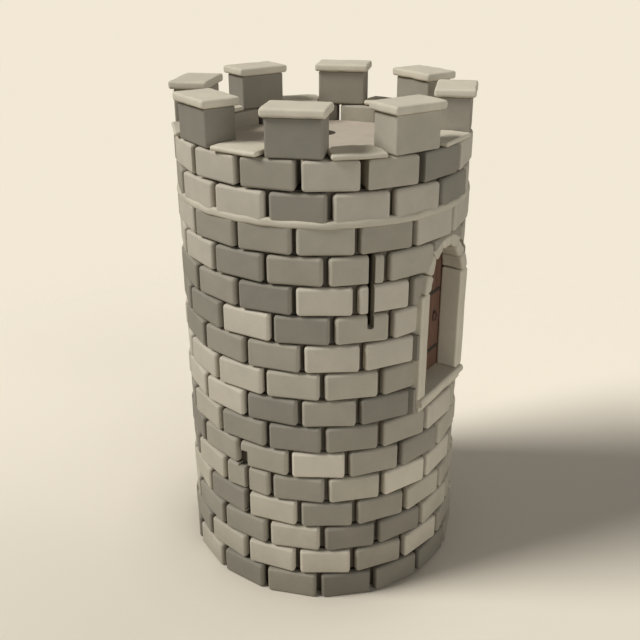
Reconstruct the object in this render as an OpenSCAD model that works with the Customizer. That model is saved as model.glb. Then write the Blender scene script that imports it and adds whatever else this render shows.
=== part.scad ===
// Round wall tower of dressed stone: straight blocks laid sixteen to a course,
// a string course, merlons with caps, an upper door under a stone arch,
// two arrow slits, timber floor, roof beams and a flat roof deck.
// Millimetres, +Z up, the axis of the tower on Z, the door faces -Y.
// Angles on plan run from the door round to the right-hand side (+X).

/* [Tower] */
// radius to the corners of the outer stone faces
wall_r = 2500; // [1800:10:4000]
// flat-faced stones in each course
bays = 16; // [8:2:24]
// height of one course of stone
course_h = 500; // [300:5:700]
// courses from the ground up to the sill of the upper door
lower_courses = 7; // [3:1:12]
// courses beside the upper door
door_courses = 6; // [5:1:9]
// courses from the door arch up to the roof deck
head_courses = 2; // [2:1:5]

/* [Wall thickness] */
// parapet, the thinnest part of the wall
parapet_t = 530; // [300:5:800]
// ledge on the upper storey that carries the roof deck
deck_ledge = 120; // [60:5:200]
// ledge on the lower storey that carries the floor
floor_ledge = 120; // [80:5:200]

/* [String course] */
// how far the thin round band stands out past the stone corners
band_proud = 6; // [0:1:60]
// height of the band
band_h = 120; // [60:5:200]
// how far the band goes into the wall
band_in = 250; // [120:5:400]
// radius of the round edges of the band
band_nose = 40; // [10:1:55]
// how far the band starts below the joint that it covers
band_drop = 50; // [0:5:100]
// open joint between two lengths of the band
band_joint = 4; // [1:1:10]

/* [Merlons] */
// number of merlons, and of the gaps between them
merlons = 8; // [4:1:12]
// width of a merlon along the wall
merlon_w = 875; // [500:5:1200]
// how far the back of a merlon stands in past the inner corners of the parapet
merlon_lip = 28; // [0:1:80]
// height of a merlon without its cap
merlon_h = 600; // [300:5:1500]
// radius of the upright edges of a merlon
merlon_edge = 40; // [10:1:80]
// how far the face of a merlon lies inside the stone corners
merlon_set = 8; // [0:1:60]
// how far a cap stands out past its merlon
cap_over = 62; // [20:1:120]
// height of a cap
cap_h = 138; // [80:1:250]
// radius of the round nose of a cap
cap_nose = 48; // [10:1:60]

/* [Gap slabs] */
// width of the coping slab in each gap
slab_w = 850; // [400:5:1000]
// height of a slab
slab_h = 80; // [50:1:150]
// radius of the round front and back edges of a slab
slab_nose = 24; // [5:1:40]
// how far a slab stands out past the stone corners
slab_over = 40; // [0:1:100]
// how far a slab stands in past the backs of the merlons
slab_lip = 27; // [0:1:80]
// space left between a slab and the merlons beside it
slab_gap = 6; // [2:1:30]

/* [Upper door] */
// clear width of the doorway
door_w = 1200; // [700:5:1600]
// width of the jambs and depth of the arch ring
surround_t = 200; // [120:5:400]
// radius of the upright edges at the front of the jambs
jamb_edge = 40; // [10:1:60]
// how far the face of the surround lies inside the stone corners
surround_set = 40; // [20:1:120]
// depth of the jambs and of the arch, from their face back to the door
reveal_d = 399; // [200:1:420]
// wall left between the crown of the arch and the course above
crown_bed = 50; // [10:5:200]
// stones in the arch
arch_stones = 7; // [5:2:11]
// joint between two arch stones
arch_joint = 6; // [2:1:15]
// height of the sill stone
sill_h = 250; // [120:5:400]
// how far the sill stone stands out past the jambs
sill_proud = 52; // [0:1:150]
// how far the sill runs past the jambs at each end
sill_over = 30; // [0:5:120]
// radius of the round nose of the sill
sill_nose = 55; // [10:1:100]
// thickness of the door leaf
leaf_t = 60; // [35:1:100]
// how far the leaf laps behind each jamb
leaf_lap = 88; // [40:1:150]

/* [Door iron] */
// height of a hinge strap
strap_h = 110; // [40:1:160]
// thickness of a strap
strap_t = 10; // [4:1:20]
// how far a strap stops short of the jamb at its free end
strap_short = 20; // [10:1:500]
// centre of the lower strap above the sill
strap_low = 395; // [200:5:700]
// centre of the upper strap below the springing of the arch
strap_high = 395; // [100:5:700]
// radius of the pull ring to the middle of its bar
ring_r = 78; // [40:1:120]
// radius of the bar of the ring
ring_bar = 10; // [5:1:16]
// middle of the ring from the jamb beside it
ring_in = 185; // [100:5:300]
// top of the ring above the middle between the two straps
ring_z = 145; // [-250:5:450]
// space between the ring and the plate behind it
ring_space = 5; // [2:1:10]
// radius of the round plate that the ring hangs on
plate_r = 40; // [25:1:60]
// radius of the staple that holds the ring
staple_r = 18; // [12:1:22]

/* [Arrow slits] */
// clear width of a slit at the outer face
slit_w = 92; // [50:1:200]
// height of a slit
slit_h = 1250; // [600:5:1800]
// depth of the straight part behind the outer face
slit_throat = 190; // [80:5:300]
// width of the splay at the inner face
splay_w = 640; // [200:5:900]
// from the middle of the door round the wall to the upper slit
slit_high_round = 1745; // [1400:5:3000]
// turn of the lower slit from the door
slit_low_turn = -90; // [-130:1:-60]
// foot of the lower slit above the ground
slit_low_z = 1580; // [500:5:2200]

/* [Floor and roof] */
// height of a floor joist
joist_h = 200; // [100:5:300]
// width of a floor joist
joist_w = 150; // [80:5:250]
// spacing of the floor joists
joist_pitch = 560; // [350:5:900]
// joists on each side of the middle one
joist_pairs = 2; // [1:1:3]
// thickness of the floor boarding
board_t = 40; // [20:1:80]
// height of a roof beam
beam_h = 250; // [150:5:350]
// width of a roof beam
beam_w = 200; // [120:5:300]
// spacing of the roof beams
beam_pitch = 900; // [700:5:1100]
// how far a beam end goes into the wall
beam_seat = 160; // [80:5:300]
// thickness of the roof deck
deck_t = 190; // [80:5:300]
// radius of the round hole in the deck
hole_r = 225; // [100:5:300]
// middle of the hole to the right of the axis, between the first two beams
hole_x = 689; // [300:1:1100]

/* [Fits] */
// side play of pieces let into the wall
play = 3; // [1:0.5:8]
// play of pieces that lie against another
seat = 0.3; // [0.2:0.05:0.8]

/* [Hidden] */
bay = 360 / bays;
quarter = 90;
flat = cos(bay / 2);
top_level = lower_courses + door_courses + head_courses;

// radii, each worked inwards or outwards from the corners of the outer stones
parapet_r = wall_r - parapet_t;
upper_r = parapet_r - deck_ledge;
lower_r = upper_r - floor_ledge;
band_r = wall_r + band_proud;
merlon_out = wall_r - merlon_set;
merlon_in = parapet_r - merlon_lip;
merlon_d = merlon_out - merlon_in;
merlon_mid = (merlon_out + merlon_in) / 2;
slab_out = wall_r + slab_over;
slab_in = merlon_in - slab_lip;
surround_out = wall_r - surround_set;
door_face = surround_out - reveal_d;
sill_out = surround_out + sill_proud;
sill_back = upper_r * flat;
floor_r = upper_r * flat - 4 * play;
deck_r = parapet_r - play / flat;

// heights, each worked up from the courses
lower_top = lower_courses * course_h;
door_top = lower_top + door_courses * course_h;
wall_top = door_top + head_courses * course_h;
parapet_top = wall_top + course_h;
band_z = door_top + course_h - band_drop;
floor_z = lower_top + joist_h;

// the doorway
arch_r = door_w / 2;
ring_out = arch_r + surround_t;
leaf_r = arch_r + leaf_lap;
reveal_r = leaf_r + play;
sill_w = 2 * (ring_out + sill_over);
sill_top = lower_top + sill_h;
spring_z = door_top - crown_bed - ring_out;
jamb_h = spring_z - sill_top;
strap_low_z = sill_top + strap_low;
strap_high_z = spring_z - strap_high;
ring_top_z = (strap_low_z + strap_high_z) / 2 + ring_z;

// the upper slit ends level with the door arch
slit_high_turn = -round(slit_high_round / wall_r * 180 / PI);
slit_high_z = door_top - slit_h;

merlon_turn = 360 / merlons;
// how far a cut runs past the face that it opens
past = 100;
// well outside the tower
far = 2 * wall_r;

// ---- plan helpers -------------------------------------------------------

// a point at radius r, turned a degrees from the door
function at(r, a) = [r * sin(a), -r * cos(a)];

// joints of odd courses, counted from the parapet down, lie in line with the door
function course_turn(level) = ((top_level - level) % 2 == 0) ? 0 : bay / 2;

// the corners of one course on a circle of radius r
function corners(level, r) = [for (i = [0:bays - 1]) at(r, course_turn(level) + i * bay)];

// a slice of the plan between two turns that are less than half a circle apart
module fan(a, b) {
  polygon([[0, 0], at(far, a), at(2 * far, (a + b) / 2), at(far, b)]);
}

// one course: straight stones round the tower, level 0 lies on the ground
module course(level, inner_r) {
  translate([0, 0, level * course_h])
    linear_extrude(height = course_h)
      difference() {
        polygon(corners(level, wall_r));
        polygon(corners(level, inner_r));
      }
}

// a wedge on plan from turn a to turn b, from z0 up to z1
module wedge(a, b, z0, z1) {
  translate([0, 0, z0])
    linear_extrude(height = z1 - z0)
      fan(a, b);
}

// several courses of wall, cut to the turns a to b
module wall_part(first, count, inner_r, a, b) {
  intersection() {
    union() {
      for (k = [first:first + count - 1]) course(k, inner_r);
    }
    wedge(a, b, first * course_h, (first + count) * course_h);
  }
}

// a rectangle about the origin with all four corners rounded
module soft_rectangle(w, d, r) {
  square([w - 2 * r, d], center = true);
  square([w, d - 2 * r], center = true);
  for (x = [-1, 1])
    for (y = [-1, 1])
      translate([x * (w / 2 - r), y * (d / 2 - r)]) circle(r = r, $fn = 48);
}

// ---- arrow slits: narrow outside, splayed to the inside -----------------

module slit_cut(a, z, inner_r) {
  throat = wall_r * flat - slit_throat;
  inner = inner_r * flat;
  slope = (splay_w - slit_w) / 2 / (throat - inner);
  end_w = slit_w / 2 + slope * (throat - inner + past);
  rotate([0, 0, a])
    translate([0, 0, z])
      linear_extrude(height = slit_h)
        polygon([
          [-slit_w / 2, -wall_r - past], [slit_w / 2, -wall_r - past],
          [slit_w / 2, -throat], [end_w, -inner + past],
          [-end_w, -inner + past], [-slit_w / 2, -throat]
        ]);
}

// ---- the doorway through the wall ---------------------------------------

// upright arch-headed prism: half width and arch radius r, from y0 to y1
module arch_prism(r, foot, y0, y1) {
  translate([0, y1, 0])
    rotate([90, 0, 0])
      linear_extrude(height = y1 - y0)
        union() {
          translate([0, spring_z]) circle(r = r, $fn = 96);
          translate([-r, foot]) square([2 * r, spring_z - foot]);
        }
}

module doorway_cut() {
  sill_cut = sill_w + 2 * play;
  arch_prism(ring_out + play, sill_top, -far, -door_face);
  arch_prism(reveal_r, sill_top, -door_face - past, -sill_back + past);
  translate([-sill_cut / 2, -far, lower_top - past])
    cube([sill_cut, far - sill_back + past, sill_h + past]);
}

// ---- walls --------------------------------------------------------------

module lower_wall(middle) {
  wall_part(0, lower_courses, lower_r, middle - quarter / 2, middle + quarter / 2);
}

module lower_wall_front() color("#8f897c") lower_wall(0);
module lower_wall_right() color("#98917f") lower_wall(quarter);
module lower_wall_back() color("#8f897c") lower_wall(2 * quarter);
module lower_wall_left() color("#98917f")
  difference() {
    lower_wall(-quarter);
    slit_cut(slit_low_turn, slit_low_z, lower_r);
  }

module upper_wall(a) {
  wall_part(lower_courses, door_courses, upper_r, a, a + quarter);
}

module upper_wall_front_right() color("#a09986")
  difference() {
    upper_wall(0);
    doorway_cut();
  }
module upper_wall_back_right() color("#97907f") upper_wall(quarter);
module upper_wall_back_left() color("#a09986") upper_wall(2 * quarter);
module upper_wall_front_left() color("#97907f")
  difference() {
    upper_wall(-quarter);
    doorway_cut();
    slit_cut(slit_high_turn, slit_high_z, upper_r);
  }

// beam ends lie in pockets in the head wall
module beam_pockets() {
  for (i = [-1:1])
    beam(i, beam_w / 2 + play, play);
}

// the bed of the band goes right through the outer face of the wall
module band_bed() {
  translate([0, 0, band_z])
    difference() {
      cylinder(r = far, h = band_h, $fn = 96);
      translate([0, 0, -past])
        cylinder(r = band_r - band_in - play, h = band_h + 2 * past, $fn = 96);
    }
}

module head_wall(middle) {
  difference() {
    wall_part(lower_courses + door_courses, head_courses, upper_r,
              middle - quarter / 2, middle + quarter / 2);
    band_bed();
    beam_pockets();
  }
}

module head_wall_front() color("#8b8577") head_wall(0);
module head_wall_right() color("#a59d8a") head_wall(quarter);
module head_wall_back() color("#8b8577") head_wall(2 * quarter);
module head_wall_left() color("#a59d8a") head_wall(-quarter);

// section of the band: square at the back, round at the outer edges
module band_section() {
  intersection() {
    translate([band_r - band_in, 0]) square([band_in, band_h]);
    translate([band_r - band_in, band_h / 2]) soft_rectangle(2 * band_in, band_h, band_nose);
  }
}

// the thin round band, laid in four lengths
module string_course() color("#c9c0ac") {
  open = asin(band_joint / 2 / band_r);
  for (i = [0:3])
    intersection() {
      translate([0, 0, band_z])
        rotate_extrude($fn = 96)
          band_section();
      wedge((i + 0.5) * quarter + open, (i + 1.5) * quarter - open, band_z, band_z + band_h);
    }
}

module parapet(middle) {
  wall_part(top_level, 1, parapet_r, middle - quarter / 2, middle + quarter / 2);
}

module parapet_front() color("#938c7c") parapet(0);
module parapet_right() color("#9f9785") parapet(quarter);
module parapet_back() color("#938c7c") parapet(2 * quarter);
module parapet_left() color("#9f9785") parapet(-quarter);

// ---- merlons, caps and slabs --------------------------------------------

// merlon n stands half a spacing right of the door, then on round
module merlon(n) {
  rotate([0, 0, (n - 0.5) * merlon_turn])
    translate([0, -merlon_mid, parapet_top])
      linear_extrude(height = merlon_h)
        soft_rectangle(merlon_w, merlon_d, merlon_edge);
}

module merlon_1() color("#8d8676") merlon(1);
module merlon_2() color("#8d8676") merlon(2);
module merlon_3() color("#8d8676") merlon(3);
module merlon_4() color("#8d8676") merlon(4);
module merlon_5() color("#8d8676") merlon(5);
module merlon_6() color("#8d8676") merlon(6);
module merlon_7() color("#8d8676") merlon(7);
module merlon_8() color("#8d8676") merlon(8);

// the nose runs round all four edges: two sections crossed
module cap() {
  w = merlon_w + 2 * cap_over;
  d = merlon_d + 2 * cap_over;
  intersection() {
    translate([0, d / 2, cap_h / 2])
      rotate([90, 0, 0])
        linear_extrude(height = d) soft_rectangle(w, cap_h, cap_nose);
    rotate([0, 0, 90])
      translate([0, w / 2, cap_h / 2])
        rotate([90, 0, 0])
          linear_extrude(height = w) soft_rectangle(d, cap_h, cap_nose);
  }
}

module merlon_caps() color("#d0c7b4")
  for (n = [1:merlons])
    rotate([0, 0, (n - 0.5) * merlon_turn])
      translate([0, -merlon_mid, parapet_top + merlon_h])
        cap();

// a slab fills the gap between two merlons, and keeps clear of both
module gap_slab() {
  depth = slab_out - slab_in;
  difference() {
    translate([-slab_w / 2, -slab_out + depth / 2, parapet_top + slab_h / 2])
      rotate([90, 0, 90])
        linear_extrude(height = slab_w)
          soft_rectangle(depth, slab_h, slab_nose);
    for (side = [-1, 1])
      rotate([0, 0, side * merlon_turn / 2])
        translate([-merlon_w / 2 - slab_gap, -far, parapet_top - past])
          cube([merlon_w + 2 * slab_gap, far, slab_h + 2 * past]);
  }
}

module gap_slabs() color("#cdc4b0")
  for (n = [0:merlons - 1])
    rotate([0, 0, n * merlon_turn])
      gap_slab();

// ---- upper door ---------------------------------------------------------

// long section of the sill, square at the back and round at the front edges
module door_sill() color("#c2b9a6") {
  depth = sill_out - sill_back;
  translate([-sill_w / 2, -sill_back, lower_top + sill_h / 2])
    rotate([90, 0, 90])
      linear_extrude(height = sill_w)
        intersection() {
          translate([-depth, -sill_h / 2]) square([depth, sill_h]);
          soft_rectangle(2 * depth, sill_h, sill_nose);
        }
}

// a jamb stands on the sill: square at the back and round at the front edges
module door_jamb(side) {
  translate([side * (arch_r + surround_t / 2), -door_face, sill_top])
    linear_extrude(height = jamb_h)
      intersection() {
        translate([-surround_t / 2, -reveal_d]) square([surround_t, reveal_d]);
        soft_rectangle(surround_t, 2 * reveal_d, jamb_edge);
      }
}

module door_jamb_left() color("#bdb4a0") door_jamb(-1);
module door_jamb_right() color("#bdb4a0") door_jamb(1);

// one arch stone between two radial joints, in the plane of the wall face
module arch_stone(a, b) {
  intersection() {
    difference() {
      circle(r = ring_out, $fn = 96);
      circle(r = arch_r, $fn = 96);
    }
    fan(a, b);
  }
}

// the turns run over the crown, from the right-hand springing to the left
module door_arch() color("#b7ae9a") {
  step = 2 * quarter / arch_stones;
  open = asin(arch_joint / 2 / ring_out);
  for (i = [0:arch_stones - 1])
    translate([0, -door_face, spring_z])
      rotate([90, 0, 0])
        linear_extrude(height = reveal_d)
          arch_stone(quarter + i * step + (i > 0 ? open : 0),
                     quarter + (i + 1) * step - (i < arch_stones - 1 ? open : 0));
}

module door_leaf() color("#5c4034")
  arch_prism(leaf_r, sill_top + seat, -door_face + seat, -door_face + seat + leaf_t);

module door_straps() color("#34332f")
  for (z = [strap_low_z, strap_high_z])
    translate([-arch_r + play, -door_face + seat - strap_t, z - strap_h / 2])
      cube([door_w - play - strap_short, strap_t, strap_h]);

// pull ring hung on a staple through a round plate
module door_ring() color("#2f2e2b") {
  ring_y = strap_t + ring_space + ring_bar;
  translate([arch_r - ring_in, -door_face + seat, ring_top_z])
    rotate([90, 0, 0]) {
      cylinder(r = plate_r, h = strap_t, $fn = 48);
      cylinder(r = staple_r, h = ring_y + ring_bar + ring_space, $fn = 48);
      translate([0, -ring_r, ring_y])
        rotate_extrude($fn = 96)
          translate([ring_r, 0]) circle(r = ring_bar, $fn = 48);
    }
}

// ---- floor, roof beams and deck -----------------------------------------

// joists lie on the ledge of the lower wall
module floor_joists() color("#7a5f45")
  for (i = [-joist_pairs:joist_pairs]) {
    edge = abs(i) * joist_pitch + joist_w / 2;
    half = sqrt(floor_r * floor_r - edge * edge);
    translate([-half, i * joist_pitch - joist_w / 2, lower_top])
      cube([2 * half, joist_w, joist_h]);
  }

module floor_boarding() color("#8c6f50")
  translate([0, 0, floor_z])
    cylinder(r = floor_r, h = board_t, $fn = 96);

// one roof beam, with half width hw, made longer by extra for its pocket
module beam(i, hw, extra) {
  edge = abs(i) * beam_pitch;
  half = sqrt(upper_r * upper_r - edge * edge) + beam_seat + extra;
  translate([-half, i * beam_pitch - hw, wall_top - beam_h])
    cube([2 * half, 2 * hw, beam_h]);
}

module roof_beams() color("#6f563f")
  for (i = [-1:1]) beam(i, beam_w / 2, 0);

module roof_deck() color("#bcae9c")
  translate([0, 0, wall_top])
    linear_extrude(height = deck_t)
      difference() {
        polygon(corners(top_level, deck_r));
        translate([hole_x, beam_pitch / 2]) circle(r = hole_r, $fn = 96);
      }

// ---- parts --------------------------------------------------------------

lower_wall_front();
lower_wall_right();
lower_wall_back();
lower_wall_left();
upper_wall_front_right();
upper_wall_back_right();
upper_wall_back_left();
upper_wall_front_left();
head_wall_front();
head_wall_right();
head_wall_back();
head_wall_left();
string_course();
parapet_front();
parapet_right();
parapet_back();
parapet_left();
merlon_1();
merlon_2();
merlon_3();
merlon_4();
merlon_5();
merlon_6();
merlon_7();
merlon_8();
merlon_caps();
gap_slabs();
door_sill();
door_jamb_left();
door_jamb_right();
door_arch();
door_leaf();
door_straps();
door_ring();
floor_joists();
floor_boarding();
roof_beams();
roof_deck();
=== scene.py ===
"""Town wall tower: dressed stone blocks, string course, capped merlons and an upper door.

Lengths are in metres. A turn is in degrees about the tower's axis, counted anticlockwise from above: 0 faces
the way the door does. Most stones are made facing that way and then turned into their place."""
import math
import random

import bmesh
import bpy
from mathutils import Matrix, Vector, noise


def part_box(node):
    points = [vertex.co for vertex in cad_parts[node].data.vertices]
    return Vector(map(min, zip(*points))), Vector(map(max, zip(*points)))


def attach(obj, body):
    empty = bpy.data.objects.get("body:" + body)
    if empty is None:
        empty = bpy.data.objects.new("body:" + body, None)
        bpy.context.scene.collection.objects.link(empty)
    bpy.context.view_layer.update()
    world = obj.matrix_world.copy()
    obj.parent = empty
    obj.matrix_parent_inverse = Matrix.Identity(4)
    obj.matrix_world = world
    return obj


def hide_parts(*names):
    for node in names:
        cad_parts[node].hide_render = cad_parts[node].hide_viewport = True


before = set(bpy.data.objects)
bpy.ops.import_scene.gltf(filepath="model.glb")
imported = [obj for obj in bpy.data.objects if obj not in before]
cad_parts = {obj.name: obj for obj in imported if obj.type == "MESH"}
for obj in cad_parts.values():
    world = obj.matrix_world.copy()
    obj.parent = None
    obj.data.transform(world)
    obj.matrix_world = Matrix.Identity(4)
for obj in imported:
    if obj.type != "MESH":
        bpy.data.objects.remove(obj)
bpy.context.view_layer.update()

scene = bpy.context.scene
random.seed(16)
noise.seed_set(16)                           # unseeded, it goes by the clock and each run differs

# ---- measures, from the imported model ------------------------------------

ROWS = 16                                    # courses: row 1 is the parapet, row 16 stands on the ground
BAYS = 16                                    # stones in a course
STEP = 360 / BAYS
HALF_BAY = math.sin(math.radians(STEP / 2))  # half the width of a bay, as a share of its corners' radius
FLAT = math.cos(math.radians(STEP / 2))      # from the axis to the middle of a bay, as such a share
RADIUS = -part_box("lower_wall_front")[0].y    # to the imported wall's corners, and to the blocks' flat faces
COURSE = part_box("parapet_front")[1].z / ROWS
PARAPET_IN = RADIUS - 0.53

JAMB_LOW, JAMB_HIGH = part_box("door_jamb_right")
DOOR_HALF = JAMB_LOW.x
SURROUND = JAMB_HIGH.x
FACE_Y = JAMB_LOW.y
DOOR_Y = JAMB_HIGH.y
SPRING = JAMB_HIGH.z
SILL_LOW, SILL_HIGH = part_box("door_sill")
BAND_LOW, BAND_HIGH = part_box("string_course")

# how far the joints of each course lie off the regular bond
BOND_SHIFT = (1.5, 1.15, -0.4, -0.35, -0.8, 2.05, 2.1, -1.65,
              1.0, -1.15, -3.2, 0.05, 0.2, -1.65, -0.5, -3.15)

JOINT = 0.092                                # open joint between two stones, at the face
JOINT_IN = 0.066                             # the same at the inner side of the parapet
BED = 0.030                                  # open bed between two courses
STONE_DEPTH = 0.165
STONE_EDGE = 0.052                           # rounding of a block's edges
SPREAD = {13: 0.008, 14: 0.018, 15: 0.030, 16: 0.045}    # the lowest courses stand a little proud

UPPER_TURN, LOWER_TURN = -40, -90            # where the two slits face
UPPER_HEIGHTS, LOWER_HEIGHTS = (5.25, 6.52), (1.58, 2.83)
SLIT_WIDTH = 0.11                            # of the cut through the face stones, which bares the slit behind
SLIT_SPAN = 13                               # blocks within this turn of a slit are cut for it
UPPER_ROWS, LOWER_ROWS = (4, 5, 6), (11, 12, 13)
NOTCH_ROWS = (11, 12)
NOTCH_WIDTH, NOTCH_LOW = 0.19, 2.44          # a broken corner beside the lower slit's head
DOOR_ROWS = range(4, 10)
DOOR_SPAN = 32                               # blocks within this turn of the door are cut for it
LEAST_WIDTH = 0.07                           # a block cut narrower than this is left out

MERGE = 1e-5                                 # points nearer to each other than this are one
CREASE = 25                                  # edges that turn by more than this are rounded


# ---- small helpers ------------------------------------------------------

def turned(angle):
    return Matrix.Rotation(math.radians(angle), 4, "Z")


def shifted(x, y, z):
    return Matrix.Translation((x, y, z))


def apart(angle, other):
    """How far two turns are from each other, the shorter way round."""
    return abs((angle - other + 180) % 360 - 180)


def placed(bm, matrix):
    bmesh.ops.transform(bm, matrix=matrix, verts=bm.verts)
    return bm


def new_solid():
    """An empty mesh whose points carry the tone of their stone and their wear."""
    bm = bmesh.new()
    for name in ("tone", "wear"):
        bm.verts.layers.float.new(name)
    return bm


def block(width, depth, height, matrix=Matrix()):
    """A box with its front face on y = 0, its back at +depth and its foot on z = 0."""
    bm = new_solid()
    bmesh.ops.create_cube(bm, size=1)
    bmesh.ops.translate(bm, verts=bm.verts, vec=(0, 0.5, 0.5))
    bmesh.ops.scale(bm, verts=bm.verts, vec=(width, depth, height))
    return placed(bm, matrix)


def soften(bm, radius, steps=3, keep=None):
    """Rounds the creased edges, or those of them that keep picks, and marks the rounded part as worn."""
    bmesh.ops.recalc_face_normals(bm, faces=bm.faces)
    edges = [e for e in bm.edges if len(e.link_faces) == 2
             and e.calc_face_angle(0) > math.radians(CREASE) and (keep is None or keep(e))]
    made = bmesh.ops.bevel(bm, geom=edges, offset=radius, offset_type="OFFSET", segments=steps,
                           profile=0.5, affect="EDGES", material=-1, clamp_overlap=True)
    rounded = set(made["faces"])
    wear = bm.verts.layers.float["wear"]
    for v in bm.verts:
        v[wear] = float(all(f in rounded for f in v.link_faces))
    return bm


def rough_hewn(bm, size, radius, cuts=5, pitch=3.2, steps=3, keep=None):
    """Divides a block, rounds its edges and lets its surfaces wander by that size, as if cut by hand."""
    longest = max(e.calc_length() for e in bm.edges)
    for _ in range(3):
        far = [e for e in bm.edges if e.calc_length() > longest / cuts]
        if far:
            bmesh.ops.subdivide_edges(bm, edges=far, cuts=1, use_grid_fill=True)
    soften(bm, radius, steps=steps, keep=keep)
    shift = Vector((random.uniform(0, 50), random.uniform(0, 50), random.uniform(0, 50)))
    for v in bm.verts:
        broad = noise.noise_vector(v.co * pitch + shift) * size
        fine = noise.noise_vector(v.co * pitch * 3 + shift) * size * 0.4
        v.co += broad + fine
    return bm


def cut_off(bm, point, normal):
    """Takes away what lies beyond a plane, and closes the cut."""
    bmesh.ops.bisect_plane(bm, geom=bm.verts[:] + bm.edges[:] + bm.faces[:],
                           plane_co=point, plane_no=normal, clear_outer=True)
    bmesh.ops.holes_fill(bm, edges=[e for e in bm.edges if len(e.link_faces) == 1])


def ring_section(bm, inner, outer, low, high):
    """The four-cornered section of a ring round the axis; its two outer corners are returned."""
    corners = [bm.verts.new((x, 0, z)) for x, z in
               ((inner, low), (outer, low), (outer, high), (inner, high))]
    bm.faces.new(corners)
    return corners[1:3]


def spun_round(bm, steps):
    """Turns a section's outline once round the axis, into a closed ring."""
    bmesh.ops.delete(bm, geom=bm.faces[:], context="FACES_ONLY")
    bmesh.ops.spin(bm, geom=bm.edges[:] + bm.verts[:], cent=(0, 0, 0), axis=(0, 0, 1),
                   angle=2 * math.pi, steps=steps, use_merge=True, use_duplicate=False)
    bmesh.ops.remove_doubles(bm, verts=bm.verts, dist=MERGE)
    bmesh.ops.recalc_face_normals(bm, faces=bm.faces)
    return bm


def solid_object(bm, name="cutter"):
    mesh = bpy.data.meshes.new(name)
    bm.to_mesh(mesh)
    bm.free()
    made = bpy.data.objects.new(name, mesh)
    scene.collection.objects.link(made)
    return made


def carve(bm, cutters):
    """Takes the cutters out of a solid."""
    body = solid_object(bm, "carved")
    for cutter in cutters:
        cut = body.modifiers.new("cut", "BOOLEAN")
        cut.operation = "DIFFERENCE"
        cut.solver = "EXACT"
        cut.object = cutter
    bpy.context.view_layer.update()
    shape = bpy.data.meshes.new_from_object(
        body.evaluated_get(bpy.context.evaluated_depsgraph_get()))
    done = bmesh.new()
    done.from_mesh(shape)
    bmesh.ops.remove_doubles(done, verts=done.verts, dist=MERGE)
    bmesh.ops.dissolve_limit(done, angle_limit=math.radians(0.5), verts=done.verts, edges=done.edges)
    for name in ("tone", "wear"):
        if name not in done.verts.layers.float:
            done.verts.layers.float.new(name)
    bpy.data.meshes.remove(shape)
    bpy.data.objects.remove(body)
    return done


def width_of(bm):
    return max(v.co.x for v in bm.verts) - min(v.co.x for v in bm.verts)


def toned(bm, tone):
    layer = bm.verts.layers.float["tone"]
    for v in bm.verts:
        v[layer] = tone
    return bm


def piece(name, parts, material, replaces=(), sharp=50):
    """Joins solids into one piece that rides on the tower."""
    whole = new_solid()
    for part in parts:
        mesh = bpy.data.meshes.new("part")
        part.to_mesh(mesh)
        part.free()
        whole.from_mesh(mesh)
        bpy.data.meshes.remove(mesh)
    for edge in whole.edges:
        edge.smooth = edge.calc_face_angle(0) < math.radians(sharp)
    for face in whole.faces:
        face.smooth = True
    made = solid_object(whole, name)
    made.data.materials.append(material)
    even = made.modifiers.new("even_normals", "WEIGHTED_NORMAL")
    even.keep_sharp = True
    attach(made, "root")
    if replaces:
        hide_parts(*replaces)
    return made


# ---- how materials are built ---------------------------------------------

class Value:
    """A shader socket that Python's operators work on."""

    def __init__(self, tree, socket):
        self.tree = tree
        self.socket = socket

    def maths(self, operation, first, second, clamp=False):
        made = self.tree.nodes.new("ShaderNodeMath")
        made.operation = operation
        made.use_clamp = clamp
        for place, value in enumerate((first, second)):
            if isinstance(value, Value):
                self.tree.links.new(value.socket, made.inputs[place])
            else:
                made.inputs[place].default_value = value
        return Value(self.tree, made.outputs[0])

    def __add__(self, other): return self.maths("ADD", self, other)
    def __radd__(self, other): return self.maths("ADD", other, self)
    def __sub__(self, other): return self.maths("SUBTRACT", self, other)
    def __rsub__(self, other): return self.maths("SUBTRACT", other, self)
    def __mul__(self, other): return self.maths("MULTIPLY", self, other)
    def __rmul__(self, other): return self.maths("MULTIPLY", other, self)
    def clamped(self): return self.maths("ADD", self, 0.0, clamp=True)


def set_stops(elements, stops):
    for spare in list(elements)[1:]:
        elements.remove(spare)
    for count, (at, colour) in enumerate(stops):
        stop = elements[0] if count == 0 else elements.new(at)
        stop.position = at
        stop.color = (*colour, 1)


class Nodes:
    """A tree of shader nodes."""

    def __init__(self, tree):
        self.tree = tree

    def feed(self, socket, value):
        if isinstance(value, Value):
            self.tree.links.new(value.socket, socket)
        else:
            socket.default_value = value

    def node(self, kind, settings=None, sockets=None, out=0):
        """Adds a node, sets it up, feeds its sockets and gives one of its outputs."""
        made = self.tree.nodes.new("ShaderNode" + kind)
        for name, value in (settings or {}).items():
            if name == "stops":
                set_stops(made.color_ramp.elements, value)
            else:
                setattr(made, name, value)
        for name, value in (sockets or {}).items():
            self.feed(made.inputs[name], value)
        return Value(self.tree, made.outputs[out])

    def blend(self, factor, first, second, kind="MIX"):
        def four(colour):
            return colour if isinstance(colour, Value) else (*colour, 1)
        return self.node("Mix", {"data_type": "RGBA", "blend_type": kind},
                         {0: factor, 6: four(first), 7: four(second)}, out=2)

    def times(self, colour, other):
        return self.blend(1.0, colour, other, "MULTIPLY")

    def joined(self, red, green, blue):
        """One colour from three values."""
        return self.node("CombineColor", {}, {0: red, 1: green, 2: blue})

    def ranged(self, value, start, end, low, high, smooth=True):
        """Goes from low to high while the value goes from start to end."""
        return self.node("MapRange", {"interpolation_type": "SMOOTHSTEP" if smooth else "LINEAR"},
                         {"Value": value, "From Min": start, "From Max": end, "To Min": low, "To Max": high})


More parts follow.
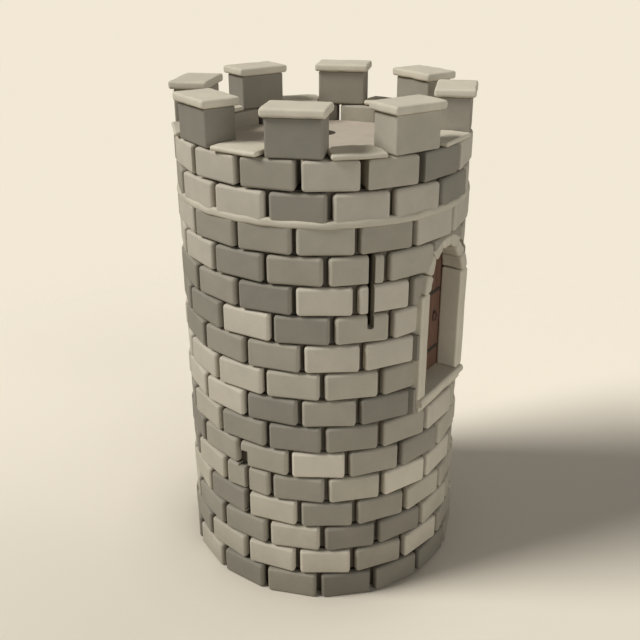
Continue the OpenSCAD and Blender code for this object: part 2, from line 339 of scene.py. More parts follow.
class Finish(Nodes):
    """One material, built node by node."""

    def __init__(self, name, roughness, specular, metallic=0.0):
        self.material = bpy.data.materials.new(name)
        self.material.use_nodes = True
        super().__init__(self.material.node_tree)
        self.shader = self.tree.nodes["Principled BSDF"]
        self.shader.inputs["Roughness"].default_value = roughness
        self.shader.inputs["Metallic"].default_value = metallic
        self.shader.inputs["Specular IOR Level"].default_value = specular
        self.place = self.node("TexCoord", out="Object")

    def noise(self, scale, detail, roughness=0.55, place=None):
        return self.node("TexNoise", {}, {"Vector": place or self.place, "Scale": scale,
                                          "Detail": detail, "Roughness": roughness})

    def attribute(self, name):
        return self.node("Attribute", {"attribute_name": name}, out="Fac")

    def axis(self, number):
        """How far a point lies along x, y or z."""
        return self.node("SeparateXYZ", {}, {0: self.place}, out=number)

    def ramp(self, factor, *stops):
        return self.node("ValToRGB", {"stops": stops}, {0: factor})

    def colour(self, value):
        self.feed(self.shader.inputs["Base Color"], value)

    def rough(self, value):
        self.feed(self.shader.inputs["Roughness"], value)

    def bump(self, height, depth, strength):
        normal = self.node("Bump", {}, {"Height": height, "Distance": depth, "Strength": strength})
        self.feed(self.shader.inputs["Normal"], normal)


def shade(colour, factor):
    return tuple(c * factor for c in colour)


# ---- materials ----------------------------------------------------------

TONES = (
    (0.217, 0.198, 0.161),
    (0.255, 0.234, 0.188),
    (0.310, 0.281, 0.224),
    (0.390, 0.356, 0.283),
    (0.468, 0.424, 0.344),
    (0.500, 0.453, 0.368),
)
DRESSED = (0.583, 0.531, 0.420)
DECK = (0.545, 0.470, 0.377)
GROUND_SHADE_LOW, GROUND_SHADE_HIGH = -0.1, 1.7              # heights where the painted shade at the tower's foot is full, and where it is gone
WEAR_SHARE = 0.55                            # how much of the paler wear shows on rounded edges


def stone_finish(name, tones, grain=1.0, worn=1.12, pits=1.0, ground_shade=0.0):
    """Sawn and weathered stone: a tone for each block, soft clouds, fine grain and paler worn edges.

    Painted shade darkens the stone towards the ground by that share, standing in for the shade at the tower's
    foot."""
    finish = Finish(name, roughness=0.92, specular=0.22)
    tone = finish.attribute("tone")
    if len(tones) > 1:
        base = finish.ramp(tone, *[((i + 0.5) / len(tones), colour) for i, colour in enumerate(tones)])
    else:
        base = finish.blend(tone, shade(tones[0], 0.93), shade(tones[0], 1.06))

    clouds = finish.noise(2.6, 4.0, 0.6)
    grains = finish.noise(75.0, 4.0, 0.65)
    specks = finish.noise(240.0, 2.0, 0.5)
    mottled = finish.blend(((clouds - 0.5) * 1.6 + 0.5).clamped(), (0.90, 0.905, 0.90), (1.07, 1.06, 1.05))
    base = finish.times(base, mottled)
    fine = 0.94 + (grains - 0.5) * 0.22 * grain + (specks - 0.5) * 0.22 * grain
    base = finish.times(base, finish.joined(fine + 0.06, fine + 0.06, fine + 0.055))

    wear = finish.attribute("wear") * (0.45 + finish.noise(14.0, 3.0) * 0.9)
    base = finish.blend(wear.clamped() * WEAR_SHARE, base, finish.times(base, (worn, worn, worn * 0.99)))
    # painted shade: darker towards the ground, for the shade at the tower's foot
    if ground_shade:
        height = finish.axis(2) + (clouds - 0.5) * 0.3
        unshaded = finish.ranged(height, GROUND_SHADE_LOW, GROUND_SHADE_HIGH, 1 - ground_shade, 1.0)
        base = finish.times(base, finish.joined(unshaded, unshaded, unshaded))
    finish.colour(base)
    finish.rough(0.86 + grains * 0.12)

    pocks = (finish.noise(34.0, 3.0, 0.6) - 0.62).clamped() * -1.6 * pits
    waves = finish.noise(9.0, 3.0, 0.5)
    finish.bump(clouds * 0.9 + waves * 0.45 + grains * 0.10 + specks * 0.04 + pocks * 0.4, 0.008, 0.55)
    return finish


def mortar_finish():
    finish = Finish("joint_mortar", roughness=0.97, specular=0.1)
    grains = finish.noise(60.0, 4.0, 0.7)
    finish.colour(finish.blend(grains, (0.100, 0.086, 0.064), (0.175, 0.152, 0.118)))
    finish.bump(grains, 0.012, 0.7)
    return finish.material


ROOM_RADIUS = 1.9                            # turns the way round the room into metres of wall


def room_finish():
    """Coursed rubble on the inner faces: blocks laid round the room."""
    finish = Finish("room_masonry", roughness=0.95, specular=0.15)
    x, y, z = (finish.axis(number) for number in range(3))
    around = x.maths("ARCTAN2", y, x) * ROOM_RADIUS
    laid = {"Vector": finish.node("CombineXYZ", {}, {0: around, 1: z, 2: 0.0}), "Scale": 1.0, "Bias": 0.0,
            "Brick Width": 0.62, "Row Height": 0.25, "Mortar Size": 0.012}
    stones = finish.node("TexBrick", {"offset": 0.5}, {
        **laid, "Mortar Smooth": 0.3, "Color1": (0.20, 0.178, 0.145, 1),
        "Color2": (0.125, 0.112, 0.09, 1), "Mortar": (0.07, 0.062, 0.05, 1)})
    open_joints = finish.node("TexBrick", {"offset": 0.5}, {**laid, "Mortar Smooth": 0.6}, out=1)
    grains = finish.noise(50.0, 4.0, 0.6)
    finish.colour(finish.blend(grains * 0.6, stones, (0.16, 0.145, 0.118)))
    finish.bump(grains * 0.25 - open_joints, 0.012, 0.8)
    return finish.material


def timber_finish(name, dark, light, along):
    """Sawn boards: long grain along one axis, fine fibres and a tone for each board."""
    def stretched(across, lengthwise):
        scale = [across, across, across]
        scale[along] = lengthwise
        return finish.node("Mapping", {}, {"Vector": finish.place, "Scale": tuple(scale)})

    finish = Finish(name, roughness=0.75, specular=0.3)
    grain = finish.noise(1.0, 5.0, 0.62, stretched(26.0, 1.6))
    fine = finish.noise(1.0, 3.0, 0.6, stretched(26.0 * 7, 1.6 * 3))
    tone = finish.attribute("tone")
    factor = ((grain - 0.5) * 1.5 + (fine - 0.5) * 0.8 + 0.28 + tone * 0.44).clamped()
    base = finish.blend(factor, dark, light)
    finish.colour(finish.blend(finish.attribute("wear") * 0.35, base, shade(light, 1.25)))
    finish.rough(0.62 + fine * 0.25)
    finish.bump(grain * 0.7 + fine * 0.4, 0.004, 0.7)
    return finish.material


def iron_finish(name, iron_tone, rust_tone):
    """Forged iron: small dents and patches of rust."""
    finish = Finish(name, roughness=0.55, metallic=0.5, specular=0.4)
    dents = finish.noise(38.0, 3.0, 0.5)
    rust = ((finish.noise(16.0, 4.0, 0.65) - 0.52) * 5.0).clamped()
    finish.colour(finish.blend(rust * 0.7, iron_tone, rust_tone))
    finish.rough(0.55 + rust * 0.35)
    finish.bump(dents, 0.004, 0.6)
    return finish.material


HOLE_X, HOLE_Y, HOLE_R = 0.689, 0.450, 0.225    # the round hole in the deck


def deck_finish():
    """The deck's own stone, with painted shade making it near black inside the round hole."""
    finish = stone_finish("deck_stone", (DECK,), grain=0.7, pits=0.6)
    level = finish.node("VectorMath", {"operation": "MULTIPLY"}, {0: finish.place, 1: (1, 1, 0)})
    away = finish.node("VectorMath", {"operation": "DISTANCE"}, {0: level, 1: (HOLE_X, HOLE_Y, 0)},
                       out="Value")
    # painted shade: near black inside the hole's edge, for the shade down the hole
    hole_shade = finish.ranged(away, HOLE_R + 0.002, HOLE_R + 0.012, 0.88, 0.0, smooth=False)
    plain = Value(finish.tree, finish.shader.inputs["Base Color"].links[0].from_socket)
    finish.colour(finish.blend(hole_shade, plain, (0.035, 0.028, 0.02)))
    return finish.material


# the wall stone takes painted shade towards the ground, up to 0.30
wall_stone = stone_finish("wall_stone", TONES, ground_shade=0.30).material
dressed_stone = stone_finish("dressed_stone", (DRESSED,), grain=0.8, worn=1.0).material
surround_stone = stone_finish("surround_stone", (shade(DRESSED, 0.93),), grain=0.8).material
band_stone = stone_finish("band_stone", (shade(DRESSED, 0.86),), pits=1.6).material
deck_stone = deck_finish()
mortar = mortar_finish()
room_masonry = room_finish()
oak = timber_finish("door_oak", (0.046, 0.024, 0.015), (0.138, 0.073, 0.046), along=2)
floor_wood = timber_finish("floor_wood", (0.115, 0.072, 0.042), (0.27, 0.18, 0.11), along=0)
board_wood = timber_finish("board_wood", (0.125, 0.08, 0.047), (0.29, 0.195, 0.12), along=1)
iron = iron_finish("strap_iron", (0.036, 0.034, 0.027), (0.060, 0.034, 0.022))
ring_iron = iron_finish("ring_iron", (0.070, 0.044, 0.031), (0.110, 0.058, 0.038))


# ---- cutters for the doorway and the slits ------------------------------

SLOT_DEPTH, SLOT_LEAD = 0.6, 0.1             # a slot's depth, and how far in front of the wall it begins
DOOR_CUT = 1.2                               # depth of the doorway's cutters, half of it before the face
UNDER_SILL = 0.02                            # how far they reach below the sill


def slot_cutter(angle, width, low, high, aside=0.0, foot=0.0):
    """A slot through the face stones; a foot above 0 rounds its bottom."""
    bm = block(width, SLOT_DEPTH, high - low)
    if foot:
        bottom = [e for e in bm.edges if all(v.co.z < 0.01 for v in e.verts)
                  and abs(e.verts[0].co.y - e.verts[1].co.y) > 0.1]
        bmesh.ops.bevel(bm, geom=bottom, offset=foot, segments=4, profile=0.5, affect="EDGES",
                        material=-1, clamp_overlap=True)
    return solid_object(placed(bm, turned(angle) @ shifted(aside, -RADIUS - SLOT_LEAD, low)))


def doorway_cutters(room):
    """The outline of the stone surround, grown by that room all round."""
    reach = SURROUND + room
    ring = bmesh.new()
    bmesh.ops.create_cone(ring, cap_ends=True, segments=72, radius1=reach, radius2=reach, depth=DOOR_CUT)
    placed(ring, shifted(0, FACE_Y, SPRING) @ Matrix.Rotation(math.pi / 2, 4, "X"))
    foot = shifted(0, FACE_Y - DOOR_CUT / 2, SILL_LOW.z - UNDER_SILL)
    jambs = block(2 * reach, DOOR_CUT, SPRING - SILL_LOW.z + UNDER_SILL, foot)
    sill = block(2 * (SILL_HIGH.x + room), DOOR_CUT, SILL_HIGH.z - SILL_LOW.z + UNDER_SILL + room, foot)
    return [solid_object(ring), solid_object(jambs), solid_object(sill)]


upper_slit = slot_cutter(UPPER_TURN, SLIT_WIDTH, *UPPER_HEIGHTS, foot=0.04)
lower_slit = slot_cutter(LOWER_TURN, SLIT_WIDTH, *LOWER_HEIGHTS)
notch = slot_cutter(LOWER_TURN, NOTCH_WIDTH, NOTCH_LOW, LOWER_HEIGHTS[1], aside=-NOTCH_WIDTH / 2)
doorway = doorway_cutters(-0.008)            # a little smaller, so that the stones go in behind the surround


# ---- wall stones --------------------------------------------------------

CROWN_SPAN, CROWN_BACK = 5, 0.055            # the block over the arch's crown stands back by this


def joints(row):
    first = 0 if row % 2 else STEP / 2
    return [first + STEP * i + BOND_SHIFT[row - 1] for i in range(BAYS)]


def foot_of(row):
    return (ROWS - row) * COURSE


def stone_tone():
    """Mid tones are the most common; few blocks are very pale or very dark."""
    stop = random.choice((0.5, 1.5, 1.5, 2.5, 2.5, 3.5, 3.5, 4.5, 4.5, 5.5))
    return stop / len(TONES) + random.uniform(-0.03, 0.03)


def wall_stone_block(row, start):
    """One block between two joints, or None where the doorway leaves no room for it."""
    middle = start + STEP / 2
    crown = row == DOOR_ROWS[0] and apart(middle, 0) < CROWN_SPAN
    face = RADIUS + SPREAD.get(row, 0) + random.uniform(-0.004, 0.004) - (CROWN_BACK if crown else 0)
    width = 2 * RADIUS * HALF_BAY - JOINT + random.uniform(-0.008, 0.008)
    foot, height = foot_of(row), COURSE - BED
    if row == ROWS:
        foot, height = foot - BED / 2, height + BED / 2
    lean = random.uniform(-0.25, 0.25)
    edge = STONE_EDGE * random.uniform(0.9, 1.12)
    tone = stone_tone()
    seat = turned(middle) @ shifted(0, -face, foot + BED / 2) @ turned(lean)
    stone = soften(block(width, STONE_DEPTH, height, seat), edge, steps=2)
    if row in DOOR_ROWS and apart(middle, 0) < DOOR_SPAN:
        stone = carve(stone, doorway)
        if not stone.verts or width_of(placed(stone.copy(), turned(-middle))) < LEAST_WIDTH:
            return None
    if row in UPPER_ROWS and apart(middle, UPPER_TURN) < SLIT_SPAN:
        stone = carve(stone, [upper_slit])
    if row in LOWER_ROWS and apart(middle, LOWER_TURN) < SLIT_SPAN:
        stone = carve(stone, [lower_slit, notch] if row in NOTCH_ROWS else [lower_slit])
    return toned(stone, tone)


def filler_stone(row, left, back, tone):
    """A narrow stone set back between the last block of a course and the left jamb; its dark tone is painted
    shade for the shaded recess there.
    """
    right = -SURROUND + 0.03
    stone = block(right - left, 0.2, COURSE - BED,
                  shifted((left + right) / 2, FACE_Y + back, foot_of(row) + BED / 2))
    return toned(soften(stone, 0.02), tone)


def wall_stones(first_row, last_row):
    stones = [wall_stone_block(row, start)
              for row in range(first_row, last_row + 1) for start in joints(row)]
    return [stone for stone in stones if stone]


def parapet_stone(start):
    """A full-depth block, tapered towards the axis so that its joints narrow a little inwards."""
    depth = RADIUS - PARAPET_IN * FLAT
    tone = stone_tone()
    width = 2 * RADIUS * HALF_BAY - JOINT
    stone = block(width, depth, COURSE - BED)
    for v in stone.verts:
        if v.co.y > depth / 2:
            v.co.x *= (2 * PARAPET_IN * HALF_BAY - JOINT_IN) / width
    placed(stone, turned(start + STEP / 2) @ shifted(0, -RADIUS, foot_of(1) + BED / 2))
    return toned(soften(stone, STONE_EDGE, steps=2), tone)


piece("lower_wall_stones", wall_stones(10, 16), wall_stone)
# the fillers' dark tones are painted shade, for the shaded recesses beside the left jamb
fillers = [filler_stone(7, left=-0.915, back=0.035, tone=0.02),
           filler_stone(9, left=-0.93, back=0.055, tone=0.2)]
piece("upper_wall_stones", wall_stones(4, 9) + fillers, wall_stone)
piece("head_wall_stones", wall_stones(2, 3), wall_stone)
piece("parapet_stones", [parapet_stone(a) for a in joints(1)], wall_stone,
      ["parapet_front", "parapet_right", "parapet_back", "parapet_left"])


# ---- the core of the wall, behind the face stones ------------------------

CORE_SHARE = 0.955                           # the core's reach, as a share of the wall's
OUTER_ZONE = RADIUS - 0.11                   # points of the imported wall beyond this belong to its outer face
ROOM_ZONE = 1.95                             # faces nearer to the axis than this belong to the rooms
BED_MORTAR = 0.03                            # thickness of the mortar on the parapet
WALL_NODES = [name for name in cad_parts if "_wall_" in name]

# openings that keep their width as the face moves back: where they face, lowest and highest point, half width
KEPT_OPENINGS = ((0, SILL_LOW.z - 0.01, SPRING + SURROUND + 0.02, 0.9),
                 (UPPER_TURN, 5.19, 6.55, 0.06), (LOWER_TURN, 1.49, 2.9, 0.06))


def pulled_in(point):
    """Moves the outer face of the wall back behind the stones; openings keep their width."""
    if math.hypot(point.x, point.y) < OUTER_ZONE:
        return point
    for angle, low, high, half in KEPT_OPENINGS:
        local = turned(-angle) @ point
        if abs(local.x) < half and local.y < 0 and low < point.z < high:
            return turned(angle) @ Vector((local.x, local.y + RADIUS * (1 - CORE_SHARE), local.z))
    return Vector((point.x * CORE_SHARE, point.y * CORE_SHARE, point.z))


def core_part(node):
    """A pulled-in copy of a wall segment; its inner faces take the second material."""
    bm = bmesh.new()
    bm.from_mesh(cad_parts[node].data)
    bmesh.ops.remove_doubles(bm, verts=bm.verts, dist=MERGE)
    for v in bm.verts:
        v.co = pulled_in(v.co)
    for face in bm.faces:
        centre = face.calc_center_median()
        outward = Vector((centre.x, centre.y, 0)).normalized()
        inner = math.hypot(centre.x, centre.y) < ROOM_ZONE or face.normal.dot(outward) < -0.5
        face.material_index = int(inner)
    return bm


def parapet_bed():
    """The mortar bed between the parapet and what stands on it; the parapet's upright joints are open."""
    bm = bmesh.new()
    top = ROWS * COURSE
    ring_section(bm, PARAPET_IN + 0.07, RADIUS * CORE_SHARE, top - BED_MORTAR, top)
    return spun_round(bm, BAYS)


core = piece("wall_core", [core_part(name) for name in WALL_NODES] + [parapet_bed()], mortar,
             WALL_NODES, sharp=15)
core.data.materials.append(room_masonry)


# ---- string course ------------------------------------------------------

BAND_PROUD = 0.035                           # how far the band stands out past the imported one
BAND_DEPTH = 0.24
BAND_ROUND = 0.045
BAND_WAVES = (5, 9, 14, 23, 31, 43)          # how often each wave goes up and down round the tower
SWELL_TOP, SWELL_FOOT = 0.028, 0.014
LUMP, LUMP_SPAN = 0.032, 2.4                 # mortar that rises into the joints of the course above
BAND_WANDER = 0.0022                         # how much the band's reach changes, as a share


def string_band():
    """A thin round band with soft edges, uneven in height and reach."""
    bm = new_solid()
    outer = BAND_HIGH.x + BAND_PROUD
    low, high = BAND_LOW.z, BAND_HIGH.z
    middle = (low + high) / 2
    nose = ring_section(bm, outer - BAND_DEPTH, outer, low, high)
    bmesh.ops.bevel(bm, geom=nose, offset=BAND_ROUND, segments=4, profile=0.5, affect="VERTICES",
                    material=-1, clamp_overlap=True)
    spun_round(bm, 160)
    starts = [random.uniform(0, 6.28) for _ in BAND_WAVES]
    wear = bm.verts.layers.float["wear"]
    for v in bm.verts:
        if math.hypot(v.co.x, v.co.y) > outer - BAND_DEPTH / 2:
            turn = math.atan2(v.co.y, v.co.x)
            swell = sum(math.sin(turn * n + starts[i]) for i, n in enumerate(BAND_WAVES)) / len(BAND_WAVES)
            v.co.z += swell * (SWELL_TOP if v.co.z > middle else SWELL_FOOT)
            if v.co.z > middle:
                away = min(apart(math.degrees(turn) + 90, joint) for joint in joints(2))
                v.co.z += LUMP * max(0, 1 - away / LUMP_SPAN)
            v.co.x *= 1 - BAND_WANDER * (1 + swell)
            v.co.y *= 1 - BAND_WANDER * (1 + swell)
            v[wear] = 0.5 + 0.5 * swell
    return toned(bm, 0.5)


piece("string_band", [string_band()], band_stone, ["string_course"])


# ---- merlons, caps and slabs --------------------------------------------

MERLONS = 8
MERLON_TURN = 360 / MERLONS
MERLON_LOW, MERLON_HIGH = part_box("merlon_1")
MERLON_W = 0.875
MERLON_EDGE = 0.036
MERLON_OUT = RADIUS - 0.008
MERLON_IN = PARAPET_IN - 0.028
CAP_LOW, CAP_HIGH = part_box("merlon_caps")
CAP_OVER = 0.062                             # how far a cap stands out past its merlon
SLAB_LOW, SLAB_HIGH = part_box("gap_slabs")
SLAB_HALF = 0.425
SLAB_IN = MERLON_IN - 0.027
SLAB_GAP = 0.006                             # between a slab and the merlon beside it

DARK, MID, PALE = 0.19, 0.38, 0.62
MERLON_STONE = (MID, MID, MID, DARK, MID, DARK, DARK, PALE)


def on_merlon(n, out, low):
    """The place of a stone on the middle line of merlon n."""
    return turned((n - 0.5) * MERLON_TURN) @ shifted(0, -out, low)


def merlon(n):
    tone = MERLON_STONE[n - 1] + random.uniform(-0.04, 0.04)
    stone = block(MERLON_W, MERLON_OUT - MERLON_IN, MERLON_HIGH.z - MERLON_LOW.z)
    return toned(soften(placed(stone, on_merlon(n, MERLON_OUT, MERLON_LOW.z)), MERLON_EDGE), tone)


def cap_stone(n):
    stone = block(MERLON_W + 2 * CAP_OVER, MERLON_OUT - MERLON_IN + 2 * CAP_OVER, CAP_HIGH.z - CAP_LOW.z)
    placed(stone, on_merlon(n, MERLON_OUT + CAP_OVER, CAP_LOW.z))
    return toned(rough_hewn(stone, 0.008, radius=0.045, pitch=4.5, steps=4), random.random())


def slab_stone(n):
    """A coping slab cut to fit between two merlons."""
    stone = block(2 * SLAB_HALF, SLAB_HIGH.x - SLAB_IN, SLAB_HIGH.z - SLAB_LOW.z,
                  shifted(0, -SLAB_HIGH.x, SLAB_LOW.z))
    for side in (-1, 1):
        normal = turned(side * MERLON_TURN / 2) @ Vector((side, 0, 0))
        cut_off(stone, normal * -(MERLON_W / 2 + SLAB_GAP), normal)
    rough_hewn(stone, 0.010, radius=0.034, pitch=4.5)
    return toned(placed(stone, turned(n * MERLON_TURN)), random.random())


piece("merlon_blocks", [merlon(n) for n in range(1, MERLONS + 1)], wall_stone,
      ["merlon_%d" % n for n in range(1, MERLONS + 1)])
piece("cap_stones", [cap_stone(n) for n in range(1, MERLONS + 1)], dressed_stone,
      ["merlon_caps"])
piece("coping_slabs", [slab_stone(n) for n in range(MERLONS)], dressed_stone,
      ["gap_slabs"])


# ---- stone surround of the upper door -----------------------------------

JAMB_OUT = SURROUND + 0.06                   # the jambs' face, with its worn outer edge
JAMB_GAP = 0.004                             # open bed over a jamb
ARCH_STONES = 7
ARCH_GAP = 0.006                             # half a joint of the arch, as an angle in radians
NOSE = 0.135                                 # height of the sill's round front
NOSE_OVER = 0.062                            # how far it stands out past the stone under it


def jamb_stone(side):
    stone = block(JAMB_OUT - DOOR_HALF, DOOR_Y - FACE_Y, SPRING - SILL_HIGH.z - JAMB_GAP,
                  shifted(side * (JAMB_OUT + DOOR_HALF) / 2, FACE_Y, SILL_HIGH.z))
    return toned(rough_hewn(stone, 0.006, radius=0.045, cuts=8), 0.4 + 0.2 * random.random())


def arch_stone(index):
    """One voussoir: its section swept round the centre of the arch."""
    step = math.pi / ARCH_STONES
    inner = DOOR_HALF + random.uniform(-0.012, 0.018)
    out = SURROUND + random.uniform(-0.02, 0.03)
    front = FACE_Y + random.uniform(-0.022, 0.016)
    bm = new_solid()
    corners = [bm.verts.new((r, y, 0)) for r, y in
               ((inner, front), (out, front), (out, DOOR_Y), (inner, DOOR_Y))]
    section = bm.faces.new(corners)
    bmesh.ops.rotate(bm, verts=corners, cent=(0, 0, 0),
                     matrix=Matrix.Rotation(-index * step - ARCH_GAP, 3, "Y"))
    bmesh.ops.spin(bm, geom=[section] + list(section.edges) + corners, cent=(0, 0, 0), axis=(0, -1, 0),
                   angle=step - 2 * ARCH_GAP, steps=1, use_merge=False, use_duplicate=False)
    bmesh.ops.recalc_face_normals(bm, faces=bm.faces)
    placed(bm, shifted(0, 0, SPRING))
    return toned(rough_hewn(bm, 0.020, radius=0.052, cuts=3, pitch=5.0), random.random())


def front_edges(front):
    """Picks the edges that run along a stone's front, which lies at that y."""
    return lambda e: (max(v.co.y for v in e.verts) < front + 0.02
                      and abs(e.verts[0].co.x - e.verts[1].co.x) > 0.03)


def sill_stone():
    """The sill's slab with its round nose."""
    stone = block(SILL_HIGH.x - SILL_LOW.x, SILL_HIGH.y - SILL_LOW.y, NOSE,
                  shifted(0, SILL_LOW.y, SILL_HIGH.z - NOSE))
    return toned(rough_hewn(stone, 0.008, radius=0.055, cuts=12, pitch=5.0, steps=4,
                            keep=front_edges(SILL_LOW.y)), 0.5)


def sill_foot():
    """The rougher stone under the nose, set back from it."""
    front = SILL_LOW.y + NOSE_OVER
    stone = block(SILL_HIGH.x - SILL_LOW.x - 0.01, SILL_HIGH.y - SILL_LOW.y - NOSE_OVER,
                  SILL_HIGH.z - SILL_LOW.z - NOSE + 0.01, shifted(0, front, SILL_LOW.z))
    return toned(rough_hewn(stone, 0.022, radius=0.02, cuts=16, pitch=7.0, steps=2,
                            keep=front_edges(front)), 0.35)


piece("door_jamb_stones", [jamb_stone(-1), jamb_stone(1)], surround_stone,
      ["door_jamb_left", "door_jamb_right"])
piece("door_arch_stones", [arch_stone(i) for i in range(ARCH_STONES)], surround_stone,
      ["door_arch"])
piece("door_sill_stone", [sill_stone(), sill_foot()], surround_stone, ["door_sill"])


# ---- plank door, straps and ring ----------------------------------------

LEAF_LOW, LEAF_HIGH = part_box("door_leaf")
PLANK = 0.215
GROOVE = 0.011                               # open joint between two boards of the door
STRAP_INSET = 0.055                          # middle of a strap from the end of the pair's box
STRAP_TALL = 0.066
STUDS = 6                                    # on each strap
STUD_INSET = 0.07                            # first and last stud from the strap's ends
STUD_RADIUS, STUD_RISE = 0.017, 0.012


def plank(index):
    """One upright board of the leaf, its head cut to the arch."""
    left = max(index * PLANK, LEAF_LOW.x) + GROOVE / 2
    right = min((index + 1) * PLANK, LEAF_HIGH.x) - GROOVE / 2
    middle = (left + right) / 2
    board = block(right - left, LEAF_HIGH.y - LEAF_LOW.y, LEAF_HIGH.z - LEAF_LOW.z,
                  shifted(middle, LEAF_LOW.y, LEAF_LOW.z))
    for x in (left, middle, right):
        lean = math.asin(max(-1, min(1, x / LEAF_HIGH.x)))
        normal = Vector((math.sin(lean), 0, math.cos(lean)))
        cut_off(board, Vector((0, 0, SPRING)) + normal * LEAF_HIGH.x, normal)
    return toned(soften(board, 0.010, steps=2), random.random())


def stud(x, y, z):
    """A round-headed nail on an iron strap."""
    bm = new_solid()
    bmesh.ops.create_uvsphere(bm, u_segments=10, v_segments=6, radius=STUD_RADIUS)
    bmesh.ops.scale(bm, verts=bm.verts, vec=(1, STUD_RISE / STUD_RADIUS, 1))
    return placed(bm, shifted(x, y, z))


def strap_parts():
    low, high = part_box("door_straps")
    made = []
    for z in (low.z + STRAP_INSET, high.z - STRAP_INSET):
        strap = block(high.x - low.x, high.y - low.y, STRAP_TALL,
                      shifted((low.x + high.x) / 2, low.y, z - STRAP_TALL / 2))
        made.append(soften(strap, 0.003, steps=2))
        for i in range(STUDS):
            x = low.x + STUD_INSET + i * (high.x - low.x - 2 * STUD_INSET) / (STUDS - 1)
            made.append(stud(x, low.y, z))
    return made


piece("door_planks", [plank(i) for i in range(-4, 4)], oak, ["door_leaf"])
piece("strap_irons", strap_parts(), iron, ["door_straps"])


# ---- floor boards -------------------------------------------------------

FLOOR_LOW, FLOOR_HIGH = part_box("floor_boarding")
BOARDS = 14
BOARD_GAP = 0.005
SHORTEST = 0.1                               # half length below which an end board is made narrower instead


def floor_boards():
    reach = FLOOR_HIGH.x
    wide = 2 * reach / BOARDS
    made = []
    for i in range(BOARDS):
        left = -reach + i * wide
        edge = max(abs(left), abs(left + wide))
        half, wide_here, centre = math.sqrt(max(reach ** 2 - edge ** 2, 0)), wide, left + wide / 2
        if half < SHORTEST:
            half = math.sqrt(reach ** 2 - (edge - wide * 0.6) ** 2)
            wide_here = wide * 0.4
            centre = math.copysign(edge - wide * 0.8, centre)
        board = block(wide_here - BOARD_GAP, 2 * half, FLOOR_HIGH.z - FLOOR_LOW.z,
                      shifted(centre, -half, FLOOR_LOW.z))
        made.append(toned(soften(board, 0.003, steps=1), random.random()))
    return made


piece("floor_boards", floor_boards(), board_wood, ["floor_boarding"])


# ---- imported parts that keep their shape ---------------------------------

for name, material in (("floor_joists", floor_wood), ("roof_beams", floor_wood),
                       ("roof_deck", deck_stone), ("door_ring", ring_iron)):
    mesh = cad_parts[name].data
    mesh.materials.clear()
    mesh.materials.append(material)

for cutter in [upper_slit, lower_slit, notch, *doorway]:
    bpy.data.objects.remove(cutter)


# ---- floor and backdrop --------------------------------------------------

CREAM = (0.887, 0.807, 0.665)
WORLD_LIGHT = (0.03, 0.03, 0.03)
FLOOR_SHARE = 0.93                           # how much of the light the floor gives back
FLOOR_DROP = 0.002                           # how far it lies below the tower's foot
FADE_START, FADE_END = 3.3 * RADIUS, 7 * RADIUS
FAR_SIDE = (0.84, 0.54, 0)                   # the way the floor gets paler: painted light, brighter towards the far side
FAR_START, FAR_END, FAR_PALER = -2.0, 6.0, 1.19
# painted shade: the floor near the tower is darker, for the shade round its foot; how far out, as a share of
# FADE_START, and how pale there
FOOT_SHADES = ((0.30, 0.74), (0.35, 0.84), (0.42, 0.91), (0.52, 0.955), (0.85, 0.985))


def floor_finish():
    """Pale ground: darker at the tower's foot as painted shade, paler on the far side as painted light, and
    lost in the backdrop far out.
    """
    finish = Finish("studio_floor", roughness=1.0, specular=0.0)
    reach = finish.node("VectorMath", {"operation": "LENGTH"}, {0: finish.place}, out="Value")
    full = shade(CREAM, FLOOR_SHARE)
    # painted shade round the tower's foot
    foot = finish.ramp(reach * (1 / FADE_START), *[(at, shade(full, pale)) for at, pale in FOOT_SHADES])
    across = finish.node("VectorMath", {"operation": "DOT_PRODUCT"}, {0: finish.place, 1: FAR_SIDE},
                         out="Value")
    # painted light: paler towards the far side
    paler = finish.ranged(across, FAR_START, FAR_END, 1.0, FAR_PALER)
    finish.colour(finish.times(foot, finish.joined(paler, paler, paler)))
    finish.feed(finish.shader.inputs["Alpha"], finish.ranged(reach, FADE_START, FADE_END, 1.0, 0.0))
    return finish.material


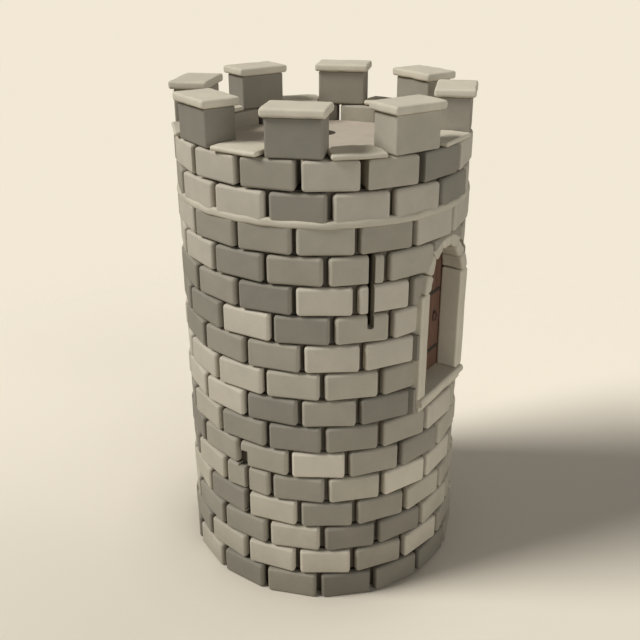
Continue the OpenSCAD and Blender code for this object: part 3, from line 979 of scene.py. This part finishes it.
def studio_floor():
    bm = bmesh.new()
    bmesh.ops.create_circle(bm, cap_ends=True, segments=96, radius=FADE_END)
    made = solid_object(placed(bm, shifted(0, 0, -FLOOR_DROP)), "studio_floor")
    made.data.materials.append(floor_finish())


studio_floor()

world = bpy.data.worlds.new("studio")
scene.world = world
world.use_nodes = True
backdrop = Nodes(world.node_tree)
camera_ray, glossy_ray, through_ray = (
    backdrop.node("LightPath", out=ray) for ray in ("Is Camera Ray", "Is Glossy Ray", "Is Transmission Ray"))
backdrop.feed(world.node_tree.nodes["Background"].inputs["Color"],
              backdrop.blend((camera_ray + glossy_ray + through_ray).clamped(), WORLD_LIGHT, CREAM))


# ---- lamps and camera -----------------------------------------------------

VIEW_TURN = -57.4                            # where the camera stands, as a turn about the axis
CAMERA_AWAY, CAMERA_UP = 15.2125, 11.125
CAMERA_TILT = 24                             # downwards
CAMERA_PAN, CAMERA_ROLL = 0.24, -0.13
LENS, SENSOR = 50, 36                        # in millimetres


def lamp(name, turn, rise, softness, strength):
    """A broad soft light; its turn is counted from the camera, towards the right of the view."""
    data = bpy.data.lights.new(name, "SUN")
    data.angle = math.radians(softness)
    data.energy = strength
    made = bpy.data.objects.new(name, data)
    a, e = math.radians(VIEW_TURN + turn), math.radians(rise)
    way = Vector((math.sin(a) * math.cos(e), -math.cos(a) * math.cos(e), math.sin(e)))
    made.rotation_euler = way.to_track_quat("Z", "Y").to_euler()
    scene.collection.objects.link(made)


lamp("key", turn=-80, rise=42, softness=22, strength=3.3)
lamp("fill", turn=35, rise=10, softness=50, strength=1.5)
lamp("rim", turn=138, rise=38, softness=50, strength=0.46)

camera_data = bpy.data.cameras.new("camera")
camera_data.lens = LENS
camera_data.sensor_width = SENSOR
camera_data.clip_end = 200
camera = bpy.data.objects.new("camera", camera_data)
camera.matrix_world = (
    turned(VIEW_TURN) @ shifted(0, -CAMERA_AWAY, CAMERA_UP) @ turned(CAMERA_PAN)
    @ Matrix.Rotation(math.radians(90 - CAMERA_TILT), 4, "X") @ turned(CAMERA_ROLL))
scene.collection.objects.link(camera)
scene.camera = camera

scene.view_settings.view_transform = "Standard"
